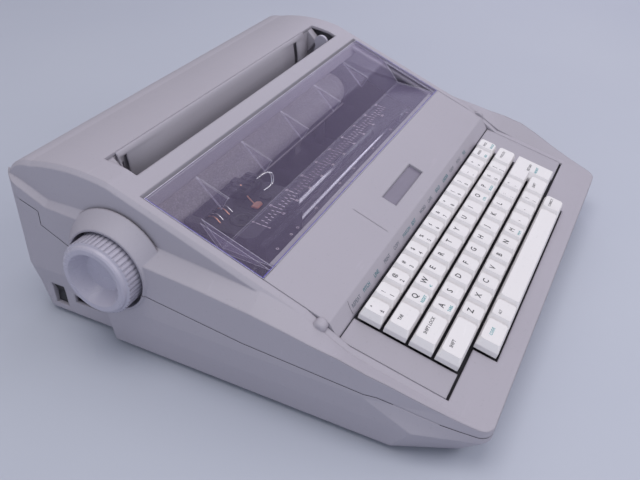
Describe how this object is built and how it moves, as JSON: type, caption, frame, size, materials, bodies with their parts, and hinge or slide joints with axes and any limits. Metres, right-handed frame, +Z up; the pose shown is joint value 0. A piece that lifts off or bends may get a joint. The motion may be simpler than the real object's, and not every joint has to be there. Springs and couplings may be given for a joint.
{
  "type": "electric typewriter",
  "caption": "Compact electric daisy-wheel typewriter with a grey moulded case, a smoked clear cover, a small display, sprung white keys and a ribbed platen knob.",
  "frame": {"origin": "on the table, under the middle of the whole machine in width (knob included) and depth", "axes": "+Z up, +Y to the rear away from the typist, +X to the typist's right"},
  "size_m": [0.4116, 0.3698, 0.1386],
  "materials": {
    "case_plastic": "satin",
    "deck_plastic": "satin",
    "inner_plastic": "matte",
    "display_grey": "gloss",
    "smoked_clear": "gloss",
    "platen_rubber": "matte",
    "steel": "satin",
    "knob_plastic": "gloss",
    "gear_plastic": "satin",
    "motor_metal": "satin",
    "roller_rubber": "matte",
    "plated_steel": "satin",
    "rail_steel": "polished",
    "carriage_plastic": "matte",
    "wheel_plastic": "satin",
    "cassette_plastic": "satin",
    "belt_rubber": "matte",
    "board_plastic": "satin",
    "foot_rubber": "matte",
    "screw_steel": "satin",
    "switch_plastic": "gloss",
    "key_plastic": "satin",
    "dark_key_plastic": "satin"
  },
  "bodies": {
    "case": {"upper_case": "case_plastic", "lower_case": "case_plastic", "keyboard_frame": "deck_plastic", "key_plate": "inner_plastic", "chassis": "plated_steel", "guide_rails": "rail_steel", "drive_motors": "motor_metal", "drive_belt": "belt_rubber", "paper_guide": "inner_plastic", "circuit_board": "board_plastic", "rubber_feet": "foot_rubber", "case_screws": "screw_steel"},
    "cover": {"front_panel": "case_plastic", "display": "display_grey", "clear_cover": "smoked_clear"},
    "platen_assembly": {"platen": "platen_rubber", "platen_shaft": "steel", "platen_knob": "knob_plastic", "platen_gear": "gear_plastic"},
    "pinion": {"feed_pinion": "gear_plastic"},
    "rollers": {"feed_rollers": "roller_rubber"},
    "release_lever": {"paper_release_lever": "knob_plastic"},
    "print_carriage": {"carriage": "carriage_plastic", "ribbon_cassette": "cassette_plastic"},
    "type_wheel": {"print_wheel": "wheel_plastic"},
    "switch": {"power_switch": "switch_plastic"},
    "body_key_a": {"key_a": "key_plastic"},
    "body_key_b": {"key_b": "key_plastic"},
    "body_key_c": {"key_c": "key_plastic"},
    "body_key_d": {"key_d": "key_plastic"},
    "body_key_e": {"key_e": "key_plastic"},
    "body_key_f": {"key_f": "key_plastic"},
    "body_key_g": {"key_g": "key_plastic"},
    "body_key_h": {"key_h": "key_plastic"},
    "body_key_i": {"key_i": "key_plastic"},
    "body_key_j": {"key_j": "key_plastic"},
    "body_key_k": {"key_k": "key_plastic"},
    "body_key_l": {"key_l": "key_plastic"},
    "body_key_m": {"key_m": "key_plastic"},
    "body_key_n": {"key_n": "key_plastic"},
    "body_key_o": {"key_o": "key_plastic"},
    "body_key_p": {"key_p": "key_plastic"},
    "body_key_q": {"key_q": "key_plastic"},
    "body_key_r": {"key_r": "key_plastic"},
    "body_key_s": {"key_s": "key_plastic"},
    "body_key_t": {"key_t": "key_plastic"},
    "body_key_u": {"key_u": "key_plastic"},
    "body_key_v": {"key_v": "key_plastic"},
    "body_key_w": {"key_w": "key_plastic"},
    "body_key_x": {"key_x": "key_plastic"},
    "body_key_y": {"key_y": "key_plastic"},
    "body_key_z": {"key_z": "key_plastic"},
    "body_key_tab": {"key_tab": "key_plastic"},
    "body_key_shift_lock": {"key_shift_lock": "key_plastic"},
    "body_key_return": {"key_return": "key_plastic"},
    "body_space_bar": {"space_bar": "key_plastic"},
    "body_number_keys": {"number_keys": "key_plastic"},
    "body_symbol_keys": {"symbol_keys": "key_plastic"},
    "body_modifier_keys": {"modifier_keys": "dark_key_plastic"},
    "body_edit_keys": {"edit_keys": "key_plastic"}
  },
  "joints": [
    {"name": "cover_hinge", "type": "hinge", "parent": "case", "child": "cover", "pos_m": [0.00725, -0.065, 0.0722], "axis": [1, 0, 0], "range_deg": [0, 70]},
    {"name": "platen_turn", "type": "hinge", "parent": "case", "child": "platen_assembly", "pos_m": [-0.19275, 0.0895, 0.0755], "axis": [1, 0, 0], "continuous": true},
    {"name": "pinion_turn", "type": "hinge", "parent": "case", "child": "pinion", "pos_m": [-0.15275, 0.06968, 0.04545], "axis": [1, 0, 0], "continuous": true},
    {"name": "roller_turn", "type": "hinge", "parent": "case", "child": "rollers", "pos_m": [0.00725, 0.09711, 0.05137], "axis": [1, 0, 0], "continuous": true},
    {"name": "release_lever_tilt", "type": "hinge", "parent": "case", "child": "release_lever", "pos_m": [0.15425, 0.099, 0.114], "axis": [1, 0, 0], "range_deg": [-18, 0]},
    {"name": "carriage_run", "type": "slide", "parent": "case", "child": "print_carriage", "axis": [1, 0, 0], "range_m": [0, 0.2]},
    {"name": "wheel_spin", "type": "hinge", "parent": "print_carriage", "child": "type_wheel", "pos_m": [-0.09075, 0.066, 0.0475], "axis": [0, 1, 0], "continuous": true},
    {"name": "switch_rock", "type": "hinge", "parent": "case", "child": "switch", "pos_m": [-0.17225, 0.154, 0.0205], "axis": [0, 1, 0], "range_deg": [0, 14]},
    {"name": "press_key_a", "type": "slide", "parent": "case", "child": "body_key_a", "axis": [0, -0.2334, 0.9724], "range_m": [-0.0035, 0], "stiffness_N_per_m": 80, "springref_m": 0.003},
    {"name": "press_key_b", "type": "slide", "parent": "case", "child": "body_key_b", "axis": [0, -0.2334, 0.9724], "range_m": [-0.0035, 0], "stiffness_N_per_m": 80, "springref_m": 0.003},
    {"name": "press_key_c", "type": "slide", "parent": "case", "child": "body_key_c", "axis": [0, -0.2334, 0.9724], "range_m": [-0.0035, 0], "stiffness_N_per_m": 80, "springref_m": 0.003},
    {"name": "press_key_d", "type": "slide", "parent": "case", "child": "body_key_d", "axis": [0, -0.2334, 0.9724], "range_m": [-0.0035, 0], "stiffness_N_per_m": 80, "springref_m": 0.003},
    {"name": "press_key_e", "type": "slide", "parent": "case", "child": "body_key_e", "axis": [0, -0.2334, 0.9724], "range_m": [-0.0035, 0], "stiffness_N_per_m": 80, "springref_m": 0.003},
    {"name": "press_key_f", "type": "slide", "parent": "case", "child": "body_key_f", "axis": [0, -0.2334, 0.9724], "range_m": [-0.0035, 0], "stiffness_N_per_m": 80, "springref_m": 0.003},
    {"name": "press_key_g", "type": "slide", "parent": "case", "child": "body_key_g", "axis": [0, -0.2334, 0.9724], "range_m": [-0.0035, 0], "stiffness_N_per_m": 80, "springref_m": 0.003},
    {"name": "press_key_h", "type": "slide", "parent": "case", "child": "body_key_h", "axis": [0, -0.2334, 0.9724], "range_m": [-0.0035, 0], "stiffness_N_per_m": 80, "springref_m": 0.003},
    {"name": "press_key_i", "type": "slide", "parent": "case", "child": "body_key_i", "axis": [0, -0.2334, 0.9724], "range_m": [-0.0035, 0], "stiffness_N_per_m": 80, "springref_m": 0.003},
    {"name": "press_key_j", "type": "slide", "parent": "case", "child": "body_key_j", "axis": [0, -0.2334, 0.9724], "range_m": [-0.0035, 0], "stiffness_N_per_m": 80, "springref_m": 0.003},
    {"name": "press_key_k", "type": "slide", "parent": "case", "child": "body_key_k", "axis": [0, -0.2334, 0.9724], "range_m": [-0.0035, 0], "stiffness_N_per_m": 80, "springref_m": 0.003},
    {"name": "press_key_l", "type": "slide", "parent": "case", "child": "body_key_l", "axis": [0, -0.2334, 0.9724], "range_m": [-0.0035, 0], "stiffness_N_per_m": 80, "springref_m": 0.003},
    {"name": "press_key_m", "type": "slide", "parent": "case", "child": "body_key_m", "axis": [0, -0.2334, 0.9724], "range_m": [-0.0035, 0], "stiffness_N_per_m": 80, "springref_m": 0.003},
    {"name": "press_key_n", "type": "slide", "parent": "case", "child": "body_key_n", "axis": [0, -0.2334, 0.9724], "range_m": [-0.0035, 0], "stiffness_N_per_m": 80, "springref_m": 0.003},
    {"name": "press_key_o", "type": "slide", "parent": "case", "child": "body_key_o", "axis": [0, -0.2334, 0.9724], "range_m": [-0.0035, 0], "stiffness_N_per_m": 80, "springref_m": 0.003},
    {"name": "press_key_p", "type": "slide", "parent": "case", "child": "body_key_p", "axis": [0, -0.2334, 0.9724], "range_m": [-0.0035, 0], "stiffness_N_per_m": 80, "springref_m": 0.003},
    {"name": "press_key_q", "type": "slide", "parent": "case", "child": "body_key_q", "axis": [0, -0.2334, 0.9724], "range_m": [-0.0035, 0], "stiffness_N_per_m": 80, "springref_m": 0.003},
    {"name": "press_key_r", "type": "slide", "parent": "case", "child": "body_key_r", "axis": [0, -0.2334, 0.9724], "range_m": [-0.0035, 0], "stiffness_N_per_m": 80, "springref_m": 0.003},
    {"name": "press_key_s", "type": "slide", "parent": "case", "child": "body_key_s", "axis": [0, -0.2334, 0.9724], "range_m": [-0.0035, 0], "stiffness_N_per_m": 80, "springref_m": 0.003},
    {"name": "press_key_t", "type": "slide", "parent": "case", "child": "body_key_t", "axis": [0, -0.2334, 0.9724], "range_m": [-0.0035, 0], "stiffness_N_per_m": 80, "springref_m": 0.003},
    {"name": "press_key_u", "type": "slide", "parent": "case", "child": "body_key_u", "axis": [0, -0.2334, 0.9724], "range_m": [-0.0035, 0], "stiffness_N_per_m": 80, "springref_m": 0.003},
    {"name": "press_key_v", "type": "slide", "parent": "case", "child": "body_key_v", "axis": [0, -0.2334, 0.9724], "range_m": [-0.0035, 0], "stiffness_N_per_m": 80, "springref_m": 0.003},
    {"name": "press_key_w", "type": "slide", "parent": "case", "child": "body_key_w", "axis": [0, -0.2334, 0.9724], "range_m": [-0.0035, 0], "stiffness_N_per_m": 80, "springref_m": 0.003},
    {"name": "press_key_x", "type": "slide", "parent": "case", "child": "body_key_x", "axis": [0, -0.2334, 0.9724], "range_m": [-0.0035, 0], "stiffness_N_per_m": 80, "springref_m": 0.003},
    {"name": "press_key_y", "type": "slide", "parent": "case", "child": "body_key_y", "axis": [0, -0.2334, 0.9724], "range_m": [-0.0035, 0], "stiffness_N_per_m": 80, "springref_m": 0.003},
    {"name": "press_key_z", "type": "slide", "parent": "case", "child": "body_key_z", "axis": [0, -0.2334, 0.9724], "range_m": [-0.0035, 0], "stiffness_N_per_m": 80, "springref_m": 0.003},
    {"name": "press_key_tab", "type": "slide", "parent": "case", "child": "body_key_tab", "axis": [0, -0.2334, 0.9724], "range_m": [-0.0035, 0], "stiffness_N_per_m": 80, "springref_m": 0.003},
    {"name": "press_key_shift_lock", "type": "slide", "parent": "case", "child": "body_key_shift_lock", "axis": [0, -0.2334, 0.9724], "range_m": [-0.0035, 0], "stiffness_N_per_m": 80, "springref_m": 0.003},
    {"name": "press_key_return", "type": "slide", "parent": "case", "child": "body_key_return", "axis": [0, -0.2334, 0.9724], "range_m": [-0.0035, 0], "stiffness_N_per_m": 80, "springref_m": 0.003},
    {"name": "press_space_bar", "type": "slide", "parent": "case", "child": "body_space_bar", "axis": [0, -0.2334, 0.9724], "range_m": [-0.0035, 0], "stiffness_N_per_m": 80, "springref_m": 0.003},
    {"name": "press_number_keys", "type": "slide", "parent": "case", "child": "body_number_keys", "axis": [0, -0.2334, 0.9724], "range_m": [-0.0035, 0], "stiffness_N_per_m": 80, "springref_m": 0.003},
    {"name": "press_symbol_keys", "type": "slide", "parent": "case", "child": "body_symbol_keys", "axis": [0, -0.2334, 0.9724], "range_m": [-0.0035, 0], "stiffness_N_per_m": 80, "springref_m": 0.003},
    {"name": "press_modifier_keys", "type": "slide", "parent": "case", "child": "body_modifier_keys", "axis": [0, -0.2334, 0.9724], "range_m": [-0.0035, 0], "stiffness_N_per_m": 80, "springref_m": 0.003},
    {"name": "press_edit_keys", "type": "slide", "parent": "case", "child": "body_edit_keys", "axis": [0, -0.2334, 0.9724], "range_m": [-0.0035, 0], "stiffness_N_per_m": 80, "springref_m": 0.003}
  ],
  "couplings": [
    {"joint": "pinion_turn", "follows": "platen_turn", "ratio": -5},
    {"joint": "roller_turn", "follows": "platen_turn", "ratio": -2.125}
  ]
}
